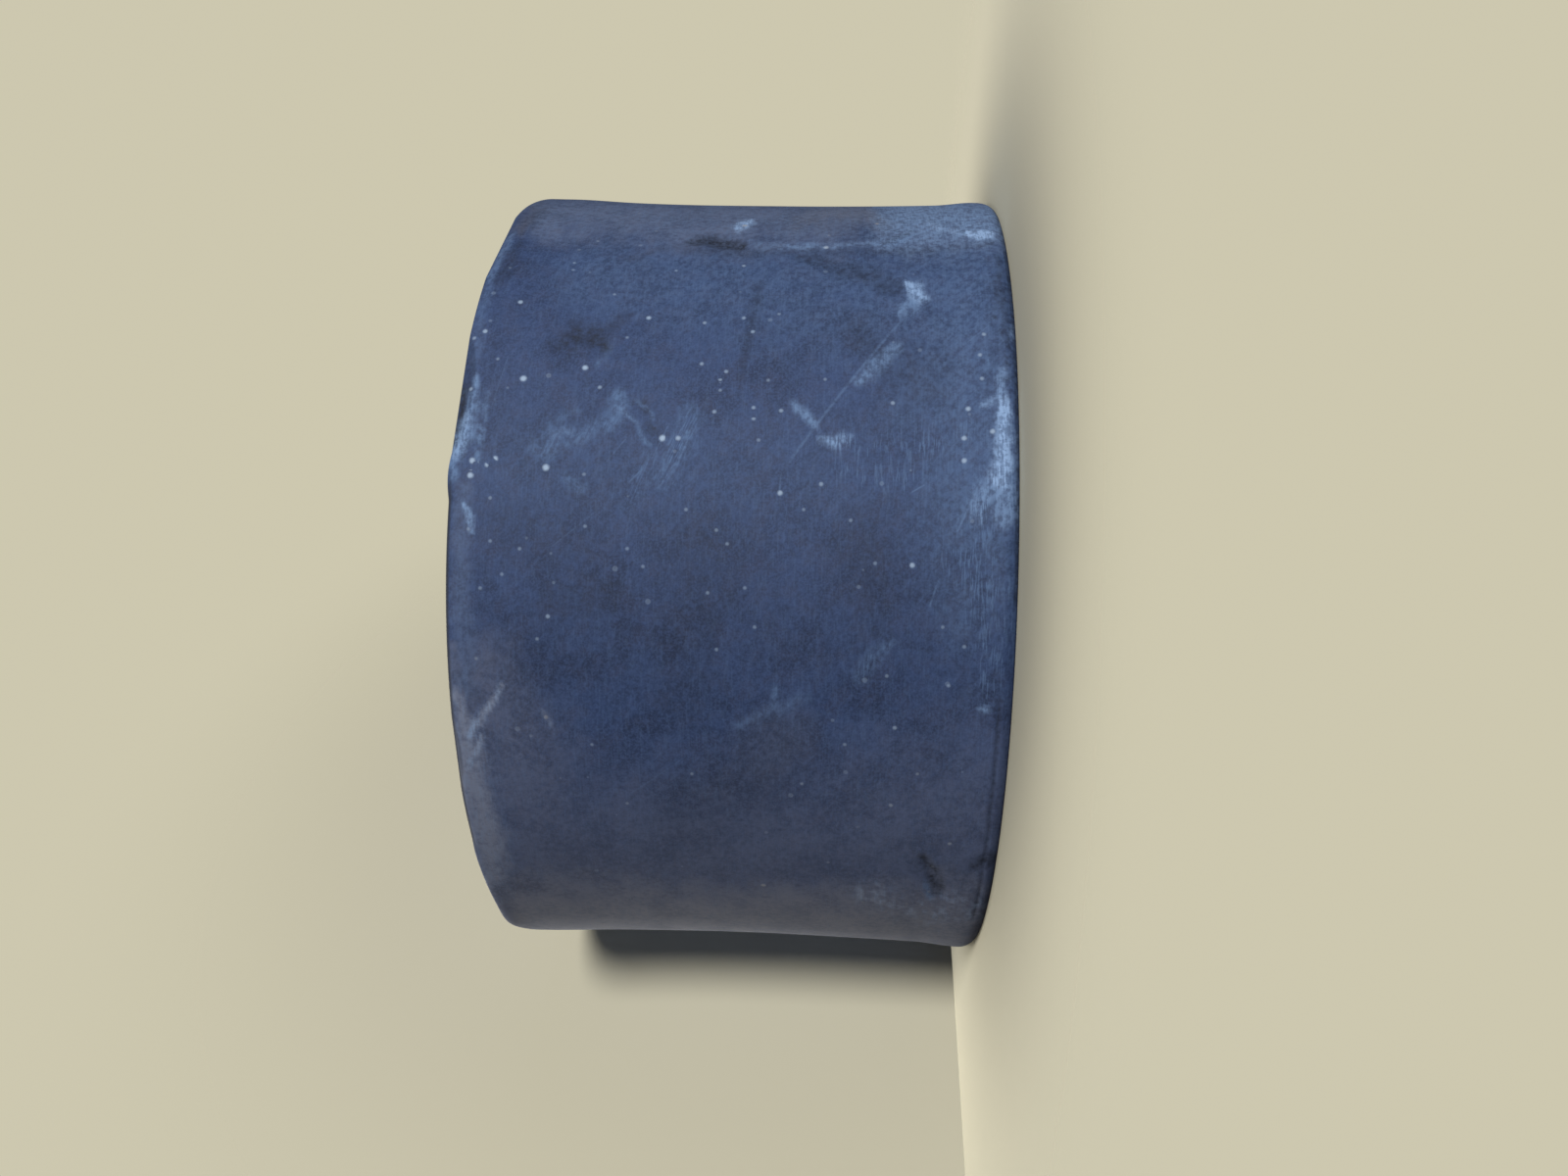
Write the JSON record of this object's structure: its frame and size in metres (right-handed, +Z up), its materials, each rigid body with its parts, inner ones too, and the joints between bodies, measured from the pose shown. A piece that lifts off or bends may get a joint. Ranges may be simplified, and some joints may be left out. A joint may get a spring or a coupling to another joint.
{
  "type": "rubber foot",
  "caption": "Short round solid rubber foot with a slightly drawn-in waist, a flat face at each end and flared, rounded rims.",
  "frame": {"origin": "centre of the flat base face", "axes": "+Z up the foot's axis, from the base face to the top face; -Y is the side that shows its scuffs"},
  "size_m": [0.0444, 0.0444, 0.0257],
  "materials": {
    "black_rubber": "satin black moulded rubber with a blue-grey bloom, scuffs and dust"
  },
  "bodies": {
    "root": {"rubber_foot": "black_rubber"}
  },
  "joints": []
}
